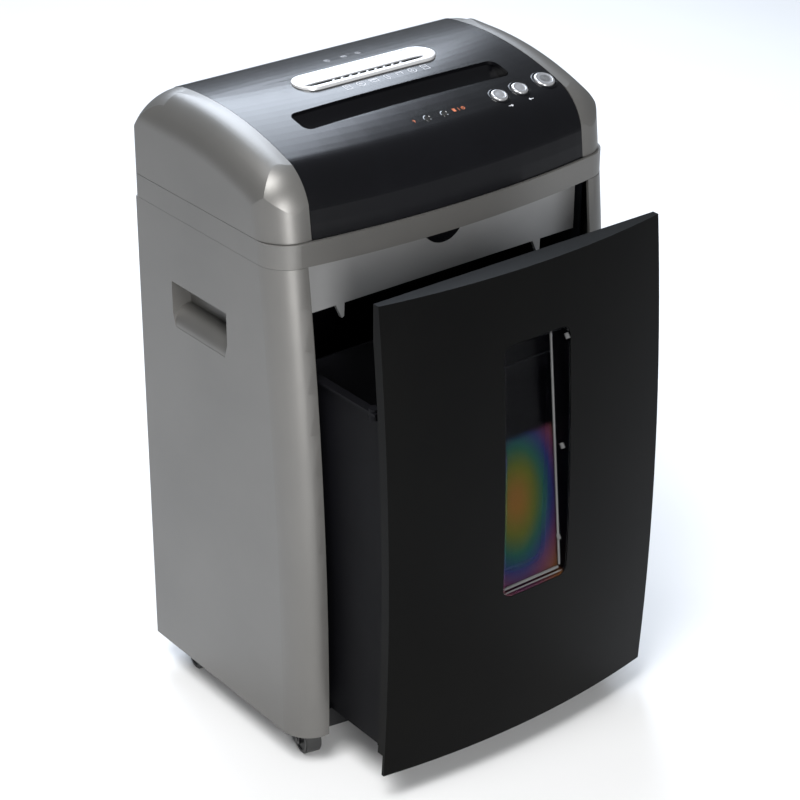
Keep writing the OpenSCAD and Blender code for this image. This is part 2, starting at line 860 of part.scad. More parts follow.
module comb(side) {
  shaft = side < 0 ? front_shaft : rear_shaft;
  first = side < 0 ? -blade_count / 2 + 0.5 : -blade_count / 2 + 1;
  edge_y = side < 0 ? fascia_y + 5.5 : rear_shaft[0] + blade_r + 1.2;
  fingers = side < 0 ? blade_count - 1 : blade_count - 2;
  low = shaft_z - blade_r - 8;
  difference() {
    union() {
      block([-plate_x, edge_y - 2, low - 6], [plate_x, edge_y + 2, low]);
      for (i = [0:fingers]) {
        x = (first + i) * blade_pitch;
        y_in = shaft[0] - side * 4;
        block([x - 1.7, min(edge_y, y_in), low - 5], [x + 1.7, max(edge_y, y_in), shaft_z - 4]);
      }
    }
    rod_x(shaft, core_r + 0.5, -plate_x - 1, plate_x + 1);
  }
}

module front_stripper_comb() {
  color(dark_steel) comb(-1);
}

module rear_stripper_comb() {
  color(dark_steel) comb(1);
}

module bush(c, r, x0) {
  difference() {
    rod_x(c, r + (r > 5 ? 3 : 2), x0, x0 + plate_t);
    rod_x(c, r + running, x0 - 1, x0 + plate_t + 1);
  }
}

module shaft_bushes() {
  color([0.7, 0.55, 0.25]) for (x0 = [-plate_x - plate_t, plate_x]) {
    for (c = [front_shaft, rear_shaft]) bush(c, journal_r, x0);
    for (c = [disc_front_shaft, disc_rear_shaft]) bush(c, disc_journal_r, x0);
  }
}

motor_x0 = 14;

module motor_body() {
  color(dark_steel) difference() {
    union() {
      rod_x(motor_c, motor_r, motor_x0 + 12, plate_x - 14);
      rod_x(motor_c, motor_r - 6, motor_x0, motor_x0 + 12.5);
      rod_x(motor_c, motor_r - 8, plate_x - 14.5, plate_x);
    }
    rod_x(motor_c, 4 + running, motor_x0 - 1, plate_x + 1);
  }
}

gear_end = 150;

module gear_plate() {
  color(steel) difference() {
    run_x(gear_end, gear_end + 2) polygon([first_c + [22, -12], first_c + [14, 16], second_c + [-14, 14],
      second_c + [-16, -14], first_c + [-4, -22]]);
    for (c = [first_c, second_c]) rod_x(c, 3, gear_end - 1, gear_end + 3);
  }
}

module gear_pins() {
  color(steel) for (c = [first_c, second_c]) {
    rod_x(c, 4, plate_x + plate_t, gear_end);
    rod_x(c, 3, gear_end - 0.5, gear_end + 2);
    rod_x(c, 4.5, gear_end + 2, gear_end + 3.2);
  }
}

module motor_rotor() {
  color(steel) {
    rod_x(motor_c, 4, motor_x0 - 4, plate_x + 25);
    gear_x(motor_c, pinion_teeth, first_m, motor_phase, plate_x + 24, plate_x + 31, 0);
  }
}

module first_gear() {
  color(white_resin) difference() {
    union() {
      gear_x(first_c, first_teeth, first_m, first_phase, plate_x + 24.5, plate_x + 30.5, 0);
      gear_x(first_c, small_teeth, second_m, first_phase, plate_x + 15, plate_x + 24.6, 0);
    }
    rod_x(first_c, 4 + running, plate_x, gear_end);
  }
}

module second_gear() {
  color(white_resin) difference() {
    union() {
      gear_x(second_c, second_teeth, second_m, second_phase, plate_x + 16, plate_x + 23, 0);
      gear_x(second_c, small_teeth, main_m, second_phase, plate_x + 5, plate_x + 16.1, 0);
    }
    rod_x(second_c, 4 + running, plate_x, gear_end);
  }
}

// A shaft of cutting discs, turned from one bar, with three notched knives on each disc
module cutter(c, offset, count, right_end) {
  rod_x(c, core_r, -plate_x + 1, plate_x - 1);
  rod_x(c, journal_r, -plate_x - 16, right_end);
  for (i = [0:count - 1]) {
    x = (i - (count - 1) / 2) * blade_pitch + offset;
    difference() {
      rod_x(c, blade_r, x - blade_t / 2, x + blade_t / 2);
      for (a = [0:120:240]) translate([x, c[0], c[1]]) rotate([a + 13 * i, 0, 0])
        translate([-blade_t, 0, blade_r - 1.5]) cube([2 * blade_t, 5, 5]);
    }
  }
}

module rear_cutter() {
  color(dark_steel) cutter(rear_shaft, 0, blade_count, plate_x + 16);
}

module front_cutter() {
  color(dark_steel) cutter(front_shaft, 0, blade_count - 1, plate_x + 5);
}

module main_gear() {
  color(dark_steel) gear_x(rear_shaft, main_teeth, main_m, rear_phase, plate_x + 6, plate_x + 14, journal_r);
}

module rear_sync_gear() {
  color(dark_steel) gear_x(rear_shaft, sync_teeth, 2, rear_phase, -plate_x - 14, -plate_x - 6, journal_r);
}

module front_sync_gear() {
  color(dark_steel) gear_x(front_shaft, sync_teeth, 2, front_phase, -plate_x - 14, -plate_x - 6, journal_r);
}

disc_blade_r = 13.5;
disc_core_r = 10.8;

module disc_cutter(c, offset, phase) {
  rod_x(c, disc_journal_r, -plate_x - 14, plate_x + 4);
  rod_x(c, disc_core_r, -72, 72);
  for (i = [0:5]) {
    x = (i - 2.5) * 22 + offset;
    rod_x(c, disc_blade_r, x - 5, x + 5);
  }
  gear_x(c, sync_teeth, disc_gap / sync_teeth, phase, -plate_x - 13, -plate_x - 6, 0);
}

module disc_front_cutter() {
  color(dark_steel) {
    disc_cutter(disc_front_shaft, -5.5, disc_front_phase);
    gear_x(disc_front_shaft, disc_teeth, main_m, disc_front_phase, plate_x + 6.5, plate_x + 13.5, 0);
    rod_x(disc_front_shaft, disc_journal_r, plate_x + 3, plate_x + 7);
  }
}

module disc_rear_cutter() {
  color(dark_steel) disc_cutter(disc_rear_shaft, 5.5, disc_rear_phase);
}

// ---------- Buttons ----------

// A domed cap on a collar that the cover holds in
module button(x, d) {
  on_row(x) {
    translate([0, 0, -wall - 3.4]) cylinder(r = d / 2 + 2.2, h = 1.6);
    translate([0, 0, -wall - 2]) cylinder(r = d / 2, h = wall + 3.2);
    translate([0, 0, 1.2]) cylinder(r1 = d / 2, r2 = d / 2 - 1.2, h = 1);
    translate([0, 0, -8]) cylinder(r = 2.4, h = 5);
  }
}

module power_button() {
  color(silver) button(power_x, power_d);
}

module forward_button() {
  color(silver) button(forward_x, jog_d);
}

module reverse_button() {
  color(silver) button(reverse_x, jog_d);
}

// ---------- Casters ----------

fork_half = 11;

module at_caster(p, turn) {
  translate([p[0], p[1], 0]) rotate([0, 0, turn]) children();
}

// Swivelling hood with two cheeks, the wheel's pin and the stem
module caster_fork() {
  difference() {
    union() {
      translate([0, 0, 28.5]) cylinder(r = 12, h = 2.5);
      translate([0, 0, 30]) cylinder(r = stem_r, h = 18);
      for (s = [-1, 1]) translate([s * (fork_half - 1.2) - 1.2, 0, 0])
        difference() {
          union() {
            block([0, -trail - 4, wheel_r - 2], [2.4, 9, 29]);
            rod_x([-trail, wheel_r], 5, 0, 2.4);
          }
          translate([-1, 9, wheel_r - 8]) rotate([0, 90, 0]) cylinder(r = 6, h = 5);
        }
      block([-fork_half, 6.5, 14], [fork_half, 9, 29]);
      rod_x([-trail, wheel_r], 2, -fork_half - 0.6, fork_half + 0.6);
    }
    rod_x([-trail, wheel_r], wheel_r + 1.2, -fork_half + 2.4, fork_half - 2.4);
  }
  rod_x([-trail, wheel_r], 2, -fork_half, fork_half);
}

module caster_wheel() {
  half = fork_half - 3;
  translate([0, -trail, wheel_r]) rotate([0, 90, 0]) difference() {
    union() {
      translate([0, 0, -half]) cylinder(r = wheel_r - 1, h = 2 * half, $fn = 96);
      translate([0, 0, -half + 1]) cylinder(r = wheel_r, h = 2 * half - 2, $fn = 96);
    }
    translate([0, 0, -half - 1]) cylinder(r = 2 + running, h = 2 * half + 2);
    for (s = [-1, 1]) translate([0, 0, s * half - 1])
      difference() {
        cylinder(r = wheel_r - 4, h = 2);
        translate([0, 0, -1]) cylinder(r = 4.5, h = 4);
      }
  }
}

module caster_fork_fl() {
  color(black) at_caster(caster_places[0], fl_turn) caster_fork();
}

module caster_fork_fr() {
  color(black) at_caster(caster_places[1], fr_turn) caster_fork();
}

module caster_fork_rl() {
  color(black) at_caster(caster_places[2], rl_turn) caster_fork();
}

module caster_fork_rr() {
  color(black) at_caster(caster_places[3], rr_turn) caster_fork();
}

module caster_wheel_fl() {
  color(black) at_caster(caster_places[0], fl_turn) caster_wheel();
}

module caster_wheel_fr() {
  color(black) at_caster(caster_places[1], fr_turn) caster_wheel();
}

module caster_wheel_rl() {
  color(black) at_caster(caster_places[2], rl_turn) caster_wheel();
}

module caster_wheel_rr() {
  color(black) at_caster(caster_places[3], rr_turn) caster_wheel();
}

// ---------- Bin ----------

// A box of the door's width behind its doubly curved front, set in from that surface
module door_body(inset, half, z0, z1, back) {
  sweep = 13;
  intersection() {
    translate([0, door_axis, 0]) rotate([0, 0, -90 - sweep])
      rotate_extrude(angle = 2 * sweep, $fn = smooth) intersection() {
        translate([door_r - barrel_r, barrel_z]) circle(barrel_r - inset, $fn = smooth);
        translate([door_r - 120, z0]) square([130, z1 - z0]);
      }
    block([-half, door_front - 1, z0 - 1], [half, back, z1 + 1]);
  }
}

module window_cut(grow) {
  run_y(door_front - 5, door_back + 30)
    rounded([-window_half - grow, window_z0 - grow], [window_half + grow, window_z1 + grow], window_r + grow);
}

// Curved front with a shallow rim behind it and a lip that hangs below the bin
module door_skin() {
  rim = 10;
  edge_t = 2.5;
  under_lid = door_z1 - edge_t;
  color(black) difference() {
    door_body(0, door_half, door_z0, door_z1, door_back);
    door_body(rim, door_half + 1, door_z0 - 1, under_lid, door_back + 1);
    door_body(wall, door_half - edge_t, floor_z, under_lid, door_back + 2);
    door_body(wall, door_half + 2, door_z0 - 2, floor_z, door_back + 3);
    window_cut(0);
  }
}

// Flat inner face of the door, with a frame that reaches forward to the skin
module door_backing() {
  half = door_half - 5;
  bottom = floor_z + 2;
  top = door_z1 - 3;
  color(black) difference() {
    door_body(wall + 0.2, half, bottom, top, door_back);
    block([-half + 2, door_front, bottom + 2], [half - 2, door_back - 3, top - 2]);
    window_cut(2.2);
  }
}

pane_top = [door_back - 3, window_z1 - 1];
pane_low = [door_front + 8, window_z0 + 4];

// Clear insert: a pane that slopes back from the foot of the opening, with side walls and a ledge
module window() {
  t = 2;
  color([0.75, 0.8, 0.85, 0.4]) intersection() {
    union() {
      difference() {
        window_cut(-0.3);
        window_cut(-t);
      }
      run_x(-window_half + 1, window_half - 1)
        polygon([pane_low, pane_top, pane_top + [t, -3], pane_low + [t, -3]]);
    }
    door_body(0.4, window_half, window_z0 - 1, window_z1 + 1, door_back);
    run_x(-window_half, window_half)
      polygon([[door_front - 2, window_z0 - 1], [door_front - 2, window_z1 + 1], [door_back, window_z1 + 1],
        pane_top + [t, -3], pane_low + [t, -3], [pane_low[0] + t, window_z0 - 1]]);
  }
}

module bin_tub() {
  rim = 6;
  color(black) difference() {
    union() {
      block([-tub_half, door_back, tub_z0], [tub_half, tub_rear, tub_z1]);
      block([-tub_half - rim, door_back, tub_z1 - 2.5], [tub_half + rim, tub_rear, tub_z1]);
      mirrored_pair() translate([tub_half + 1, door_back + 7, tub_z1 - 8]) cylinder(r = 5, h = 10.5);
    }
    block([-tub_half + tub_wall, door_back + tub_wall, tub_z0 + tub_wall],
      [tub_half - tub_wall, tub_rear - tub_wall, tub_z1 + 5]);
    run_y(door_back - 1, door_back + tub_wall + 1)
      rounded([-window_half - 2, window_z0], [window_half + 2, tub_z1 - 12], window_r);
  }
}

module bin_divider() {
  half = tub_half - tub_wall - gap;
  color(black) block([-half, divider_y, tub_z0 + tub_wall], [half, divider_y + 2.5, tub_z1]);
}

module bin_magnet() {
  color(steel) translate([62, door_back + 12, fascia_z + 14]) rotate([90, 0, 0]) cylinder(r = 6, h = 12);
}

module door_screws() {
  color(steel) for (s = [-1, 1]) for (z = [tub_z0 + 30, tub_z1 - 40])
    translate([s * 120, door_back + tub_wall, z]) rotate([-90, 0, 0]) screw_head(3.5);
}

left_side_panel();
right_side_panel();
left_liner();
right_liner();
rear_panel();
base_plate();
bin_rails();
cabinet_screws();
lower_housing();
trim_band();
top_cover();
left_end_cap();
right_end_cap();
disc_slot_bezel();
paper_throat();
disc_throat();
indicator_lenses();
control_board();
power_board();
entry_sensor();
bin_sensor();
door_catch();
power_inlet();
left_frame_plate();
right_frame_plate();
tie_rods();
front_stripper_comb();
rear_stripper_comb();
shaft_bushes();
motor_body();
gear_plate();
gear_pins();
motor_rotor();
first_gear();
second_gear();
rear_cutter();
main_gear();
rear_sync_gear();
front_cutter();
front_sync_gear();
disc_front_cutter();
disc_rear_cutter();
power_button();
forward_button();
reverse_button();
caster_fork_fl();
caster_fork_fr();
caster_fork_rl();
caster_fork_rr();
caster_wheel_fl();
caster_wheel_fr();
caster_wheel_rl();
caster_wheel_rr();
bin_tub();
bin_divider();
door_skin();
door_backing();
window();
bin_magnet();
door_screws();
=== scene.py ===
"""Looks of the paper shredder: finishes, fine details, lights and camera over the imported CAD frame."""

import json
import math

import bmesh
import bpy
from mathutils import Matrix, Vector
from mathutils.bvhtree import BVHTree


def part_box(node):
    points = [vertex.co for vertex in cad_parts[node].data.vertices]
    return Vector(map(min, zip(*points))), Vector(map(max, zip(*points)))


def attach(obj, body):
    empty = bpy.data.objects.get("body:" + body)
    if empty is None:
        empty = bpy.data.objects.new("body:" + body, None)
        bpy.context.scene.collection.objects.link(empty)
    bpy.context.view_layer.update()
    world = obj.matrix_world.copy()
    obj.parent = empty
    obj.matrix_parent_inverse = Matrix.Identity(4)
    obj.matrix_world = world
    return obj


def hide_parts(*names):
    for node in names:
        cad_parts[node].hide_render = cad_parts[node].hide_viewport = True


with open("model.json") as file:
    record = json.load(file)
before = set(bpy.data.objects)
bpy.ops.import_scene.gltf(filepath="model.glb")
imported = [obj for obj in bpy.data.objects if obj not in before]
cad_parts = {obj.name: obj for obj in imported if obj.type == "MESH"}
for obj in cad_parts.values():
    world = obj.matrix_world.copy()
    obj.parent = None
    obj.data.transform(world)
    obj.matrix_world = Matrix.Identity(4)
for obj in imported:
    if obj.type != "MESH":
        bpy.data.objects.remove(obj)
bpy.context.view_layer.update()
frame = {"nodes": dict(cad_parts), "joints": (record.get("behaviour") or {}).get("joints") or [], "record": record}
NODES = frame["nodes"]
MM = 0.001
PRINT_LIFT = 0.12 * MM
LEAST_RADIUS = 0.02
BEVEL_ANGLE = 40


# ---------------------------------------------------------------- materials

class Nodes:
    """A small helper that adds and links the nodes of one material."""

    def __init__(self, name):
        self.material = bpy.data.materials.new(name)
        self.material.use_nodes = True
        self.tree = self.material.node_tree
        self.shader = self.tree.nodes["Principled BSDF"]

    def add(self, kind, **inputs):
        node = self.tree.nodes.new(kind)
        for key, value in inputs.items():
            node.inputs[key.replace("_", " ")].default_value = value
        return node

    def link(self, source, target):
        self.tree.links.new(source, target)

    def noise(self, scale, detail=3.0, stretch=None):
        """A noise pattern in object space, optionally stretched along an axis."""
        coords = self.add("ShaderNodeTexCoord")
        noise = self.add("ShaderNodeTexNoise", Scale=scale, Detail=detail)
        if stretch is None:
            self.link(coords.outputs["Object"], noise.inputs["Vector"])
        else:
            mapping = self.add("ShaderNodeMapping", Scale=stretch)
            self.link(coords.outputs["Object"], mapping.inputs["Vector"])
            self.link(mapping.outputs["Vector"], noise.inputs["Vector"])
        return noise

    def colour(self, noise, low, high):
        ramp = self.add("ShaderNodeValToRGB")
        ramp.color_ramp.elements[0].position = 0.3
        ramp.color_ramp.elements[1].position = 0.7
        ramp.color_ramp.elements[0].color = (*low, 1)
        ramp.color_ramp.elements[1].color = (*high, 1)
        self.link(noise.outputs["Fac"], ramp.inputs["Fac"])
        self.link(ramp.outputs["Color"], self.shader.inputs["Base Color"])

    def roughness(self, noise, low, high):
        spread = self.add("ShaderNodeMapRange", To_Min=low, To_Max=high)
        self.link(noise.outputs["Fac"], spread.inputs["Value"])
        self.link(spread.outputs["Result"], self.shader.inputs["Roughness"])

    def bump(self, noise, strength, distance):
        bump = self.add("ShaderNodeBump", Strength=strength, Distance=distance)
        self.link(noise.outputs["Fac"], bump.inputs["Height"])
        self.link(bump.outputs["Normal"], self.shader.inputs["Normal"])


def finish(name, low, high, rough, metal=0.0, grain=(900, 0.15, 0.0001), stretch=None, **shader):
    """A moulded, painted or plated finish: colour drift, uneven gloss and a fine grain."""
    nodes = Nodes(name)
    drift = nodes.noise(9, 4)
    nodes.colour(drift, low, high)
    patches = nodes.noise(35, 3)
    nodes.roughness(patches, *rough)
    scale, strength, distance = grain
    nodes.bump(nodes.noise(scale, 2, stretch), strength, distance)
    nodes.shader.inputs["Metallic"].default_value = metal
    for key, value in shader.items():
        nodes.shader.inputs[key.replace("_", " ")].default_value = value
    return nodes.material


def grey(value, tint=0.0):
    return (value, value, value + tint)


SILVER = finish("satin_silver_paint", (0.126, 0.123, 0.117), (0.142, 0.138, 0.131), (0.36, 0.42), 0.55,
                (3200, 0.16, 0.00004))
GREY_RESIN = finish("grey_resin", (0.26, 0.26, 0.26), (0.30, 0.30, 0.30), (0.40, 0.48), 0.4)
COVER = finish("satin_black_cover", grey(0.002, 0.0005), grey(0.003, 0.001), (0.22, 0.27), 0.0,
               (1800, 0.08, 0.00003), Specular_IOR_Level=0.27)
DOOR = finish("door_black_paint", (0.0014, 0.0014, 0.0014), (0.0020, 0.0020, 0.0018), (0.34, 0.40), 0.0,
              (2200, 0.10, 0.00005), Specular_IOR_Level=0.05)
DULL = finish("dull_black_plastic", grey(0.002, 0.0005), grey(0.0035, 0.001), (0.45, 0.55), 0.0,
              (700, 0.25, 0.00015), Specular_IOR_Level=0.06)
LINER = finish("dark_liner_plastic", (0.002, 0.0025, 0.0035), (0.003, 0.004, 0.006), (0.45, 0.58), 0.0,
               Specular_IOR_Level=0.08)
STEEL = finish("plated_steel", grey(0.52), grey(0.62), (0.22, 0.34), 1.0, (400, 0.2, 0.00005), (1, 30, 30))
DARK_STEEL = finish("oiled_steel", grey(0.20), grey(0.28), (0.30, 0.45), 1.0, (400, 0.25, 0.00008),
                    (30, 1, 1))
RESIN = finish("white_resin", (0.72, 0.70, 0.62), (0.80, 0.78, 0.72), (0.35, 0.5))
BRONZE = finish("sintered_bronze", (0.42, 0.28, 0.12), (0.52, 0.36, 0.17), (0.4, 0.55), 1.0)
TRIM = finish("bright_trim_paint", grey(0.66, 0.01), grey(0.72, 0.01), (0.26, 0.32), 0.5,
              (2600, 0.08, 0.00004))
BUTTON = finish("button_paint", grey(0.36, 0.01), grey(0.42, 0.012), (0.22, 0.28), 0.7, (2600, 0.06, 0.00003))
BOARD = finish("circuit_board", (0.01, 0.10, 0.04), (0.02, 0.15, 0.06), (0.35, 0.45))
LENS = finish("lamp_lens", grey(0.012), grey(0.02), (0.08, 0.12), Coat_Weight=0.8)
WHEEL = finish("wheel_nylon", grey(0.010), grey(0.018), (0.35, 0.5))
# Lighter grey for the window insert's edge bars and clips: a painted glint where the clear edges catch the light.
EDGE_GLINT = finish("clear_edge_painted_glint", grey(0.06), grey(0.10), (0.12, 0.20), 0.0, (500, 0.1, 0.0001))
ICON = finish("grey_icon_ink", grey(0.42, 0.02), grey(0.50, 0.02), (0.45, 0.55))
ORANGE = finish("orange_icon_ink", (0.38, 0.085, 0.02), (0.46, 0.11, 0.03), (0.45, 0.55))
DARK_INK = finish("dark_icon_ink", grey(0.015), grey(0.025), (0.4, 0.5))


def clear_plastic_painted_rainbow(name="clear_window_painted_rainbow"):
    """Clear moulded plastic with a painted rainbow reflection in the lower part of its pane, and none in its side
    walls.
    """
    nodes = Nodes(name)
    nodes.roughness(nodes.noise(30, 2), 0.05, 0.09)
    nodes.bump(nodes.noise(14, 2), 0.05, 0.0003)
    low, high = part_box("window")
    size = high - low
    middle = (low.x + 0.36 * size.x, 0, low.z + 0.34 * size.z)
    reach = (0.062, 1, 0.105)
    coords = nodes.add("ShaderNodeTexCoord")
    mapping = nodes.add("ShaderNodeMapping", Location=[-m / r for m, r in zip(middle, reach)],
                        Scale=(1 / reach[0], 0, 1 / reach[2]))
    rings = nodes.add("ShaderNodeTexGradient")
    rings.gradient_type = "SPHERICAL"
    nodes.link(coords.outputs["Object"], mapping.inputs["Vector"])
    nodes.link(mapping.outputs["Vector"], rings.inputs["Vector"])
    ramp = nodes.add("ShaderNodeValToRGB")
    # Painted rainbow reflection: these colours, laid in rings round a point low on the pane, stand in for the
    # iridescent sheen the pane reflects.
    rainbow_reflection_stops = ((0.0, (0.13, 0.050, 0.018)), (0.18, (0.09, 0.025, 0.05)), (0.34, (0.015, 0.02, 0.09)),
             (0.50, (0.005, 0.06, 0.04)), (0.68, (0.07, 0.08, 0.006)), (0.92, (0.16, 0.07, 0.012)))
    elements = ramp.color_ramp.elements
    while len(elements) < len(rainbow_reflection_stops):
        elements.new(0.5)
    for element, (spot, colour) in zip(elements, rainbow_reflection_stops):
        element.position = spot
        element.color = (*colour, 1)
    nodes.link(rings.outputs["Fac"], ramp.inputs["Fac"])
    axes = nodes.add("ShaderNodeSeparateXYZ")
    nodes.link(coords.outputs["Object"], axes.inputs["Vector"])
    # The painted reflection fades out above the pane's top and in its right side wall.
    rainbow_mask = nodes.add("ShaderNodeMath")
    rainbow_mask.operation = "MULTIPLY"
    pane_top = low.z + 0.60 * size.z
    for index, (axis, start, end) in enumerate((("Z", pane_top - 0.008, pane_top),
                                                ("X", high.x - 0.006, high.x - 0.003))):
        span = nodes.add("ShaderNodeMapRange", From_Min=start, From_Max=end, To_Min=1.0, To_Max=0.0)
        nodes.link(axes.outputs[axis], span.inputs["Value"])
        nodes.link(span.outputs["Result"], rainbow_mask.inputs[index])
    dark_tint_and_rainbow = nodes.add("ShaderNodeMix")
    dark_tint_and_rainbow.data_type = "RGBA"
    dark_tint_and_rainbow.inputs["A"].default_value = (0.001, 0.001, 0.0015, 1)
    nodes.link(rainbow_mask.outputs["Value"], dark_tint_and_rainbow.inputs["Factor"])
    nodes.link(ramp.outputs["Color"], dark_tint_and_rainbow.inputs["B"])
    nodes.link(dark_tint_and_rainbow.outputs["Result"], nodes.shader.inputs["Base Color"])
    nodes.shader.inputs["Alpha"].default_value = 0.30
    nodes.shader.inputs["Specular IOR Level"].default_value = 0.12
    return nodes.material


CLEAR_PAINTED_RAINBOW = clear_plastic_painted_rainbow()

BY_SLOT = {
    "satin_silver": SILVER, "grey_resin": GREY_RESIN, "satin_black": COVER, "door_black": DOOR,
    "bin_black": DULL, "dark_liner": LINER, "bright_steel": STEEL, "dark_steel": DARK_STEEL,
    "white_resin": RESIN, "bronze": BRONZE, "bright_trim": TRIM, "button_silver": BUTTON,
    "circuit_board": BOARD, "lamp_lens": LENS, "clear_window": CLEAR_PAINTED_RAINBOW, "wheel_black": WHEEL,
}

for part in frame["record"]["subparts"]:
    mesh = NODES[part["node"]].data
    for index in range(len(mesh.materials)):
        mesh.materials[index] = BY_SLOT[part["material_slot"]]


# ---------------------------------------------------------------- softened CAD edges

BEVELS = {
    "left_side_panel": 0.8, "right_side_panel": 0.8, "trim_band": 0.5, "top_cover": 0.5, "left_end_cap": 0.5,
    "right_end_cap": 0.5, "disc_slot_bezel": 0.5, "door_skin": 0.7, "bin_tub": 0.5, "lower_housing": 0.6,
    "rear_panel": 0.4, "base_plate": 0.6,
}


def soften(node, width):
    """Rounds a CAD node's sharp edges, without touching its mesh."""
    bevel = NODES[node].modifiers.new("soft_edges", "BEVEL")
    bevel.width = width * MM
    bevel.segments = 2
    bevel.limit_method = "ANGLE"
    bevel.angle_limit = math.radians(BEVEL_ANGLE)
    bevel.harden_normals = False
    bevel.use_clamp_overlap = True


# ---------------------------------------------------------------- details on the cover

cover = NODES["top_cover"]
cover_tree = BVHTree.FromObject(cover, bpy.context.evaluated_depsgraph_get())


def on_cover(x, y):
    """The point and normal of the cover's outer surface at x, y in metres."""
    spot, normal, _, _ = cover_tree.ray_cast(Vector((x, y, 1.0)), Vector((0, 0, -1)))
    return spot, normal


def add_piece(name, mesh, material, body):
    piece = bpy.data.objects.new(name, mesh)
    bpy.context.scene.collection.objects.link(piece)
    mesh.materials.append(material)
    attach(piece, body)
    return piece


def arc(cx, cy, r, start, end, steps=16):
    return [(cx + r * math.cos(math.radians(start + (end - start) * i / steps)),
             cy + r * math.sin(math.radians(start + (end - start) * i / steps))) for i in range(steps + 1)]


def ring(cx, cy, r, width, start=0, end=360):
    """Quads of a flat ring or arc, in mm."""
    outer, inner = arc(cx, cy, r, start, end), arc(cx, cy, r - width, start, end)
    return [[outer[i], outer[i + 1], inner[i + 1], inner[i]] for i in range(len(outer) - 1)]


def bar(x0, y0, x1, y1):
    return [[(x0, y0), (x1, y0), (x1, y1), (x0, y1)]]


def frame_quads(x0, y0, x1, y1, w):
    """A rectangular outline of line width w."""
    return bar(x0, y0, x1, y0 + w) + bar(x0, y1 - w, x1, y1) + bar(x0, y0 + w, x0 + w, y1 - w) \
        + bar(x1 - w, y0 + w, x1, y1 - w)


def printed(name, quads, material, place, body="cabinet"):
    """Thin printed marks: quads in mm, laid on a surface by place(x, y) -> (point, normal)."""
    mesh = bpy.data.meshes.new(name)
    bm = bmesh.new()
    for quad in quads:
        corners = []
        for x, y in quad:
            spot, normal = place(x, y)
            corners.append(bm.verts.new(spot + normal * PRINT_LIFT))
        bm.faces.new(corners)
    bm.to_mesh(mesh)
    bm.free()
    return add_piece(name, mesh, material, body)


for node, width in BEVELS.items():
    soften(node, width)


def smooth_mesh(name, bm, sharp_deg=35):
    """Turns a bmesh into a mesh that is smooth except at its sharp edges."""
    bmesh.ops.recalc_face_normals(bm, faces=bm.faces)
    for face in bm.faces:
        face.smooth = True
    for edge in bm.edges:
        if len(edge.link_faces) == 2 and edge.calc_face_angle(0) > math.radians(sharp_deg):
            edge.smooth = False
    mesh = bpy.data.meshes.new(name)
    bm.to_mesh(mesh)
    bm.free()
    return mesh


def loft(name, rings, close_first=False, close_last=False, sharp_deg=35):
    """A skin through closed rings of points in mm, each ring with the same number of points."""
    bm = bmesh.new()
    rows = [[bm.verts.new(Vector(point) * MM) for point in ring_points] for ring_points in rings]
    count = len(rows[0])
    for low, high in zip(rows, rows[1:]):
        for i in range(count):
            bm.faces.new((low[i], low[(i + 1) % count], high[(i + 1) % count], high[i]))
    if close_first:
        bm.faces.new(list(reversed(rows[0])))
    if close_last:
        bm.faces.new(rows[-1])
    return smooth_mesh(name, bm, sharp_deg)


def round_profile(points, radii, steps=5):
    """Rounds the inner corners of an open (r, z) profile with the given radii."""
    out = [Vector(points[0])]
    for i in range(1, len(points) - 1):
        here, before, after = Vector(points[i]), Vector(points[i - 1]), Vector(points[i + 1])
        r = radii[i]
        start, end = here + (before - here).normalized() * r, here + (after - here).normalized() * r
        for k in range(steps + 1):
            t = k / steps
            out.append(start * (1 - t) ** 2 + here * 2 * t * (1 - t) + end * t ** 2)
    out.append(Vector(points[-1]))
    return out


def turned(profile, steps):
    """Rings about local Z from an (r, z) profile in mm."""
    rings = []
    for r, z in profile:
        reach = max(r, LEAST_RADIUS)
        turns = [2 * math.pi * i / steps for i in range(steps)]
        rings.append([(reach * math.cos(turn), reach * math.sin(turn), z) for turn in turns])
    return rings


def lathe(name, profile, steps=64, sharp_deg=50):
    """A turned solid about local Z from an (r, z) profile in mm; both ends are closed."""
    return loft(name, turned(profile, steps), True, True, sharp_deg)


def centre(node):
    low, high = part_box(node)
    return (low + high) / 2


# ---------------------------------------------------------------- buttons and lamps

TILT = Vector(next(j["axis"] for j in frame["joints"] if j["name"] == "power_press")) * -1
PRESS_TURN = Vector((0, 0, 1)).rotation_difference(TILT).to_matrix().to_4x4()


def button_place(node):
    """The local frame of a button: its axis along the press direction, its zero at the cover's surface."""
    mid = centre(node)
    top = max(vertex.co.dot(TILT) for vertex in NODES[node].data.vertices)
    base = mid + TILT * (top - mid.dot(TILT))
    return Matrix.Translation(base) @ PRESS_TURN


def domed_button(node, r, name):
    profile = round_profile(
        [(0, -9), (r, -9), (r, -0.9), (r - 1.6, 0.0), (r - 3.2, -0.35), (0, -0.1)],
        [0, 0.5, 0.8, 0.9, 1.0, 0])
    mesh = lathe(name, profile)
    mesh.transform(button_place(node))
    piece = add_piece(name, mesh, BUTTON, node)
    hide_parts(node)
    return piece


def button_rim(node, r, name):
    """The raised lip that the cover has round a button."""
    profile = [(r + 1.0, -3.2), (r + 1.0, -1.75), (r + 1.25, -1.5), (r + 1.7, -1.45), (r + 2.3, -1.75),
               (r + 2.9, -2.3)]
    mesh = loft(name, turned(profile, 72))
    mesh.transform(button_place(node))
    return add_piece(name, mesh, COVER, "cabinet")


RADII = {"power_button": 10, "forward_button": 8, "reverse_button": 8}
for node, radius in RADII.items():
    domed_button(node, radius, node + "_cap")
    button_rim(node, radius, node + "_lip")


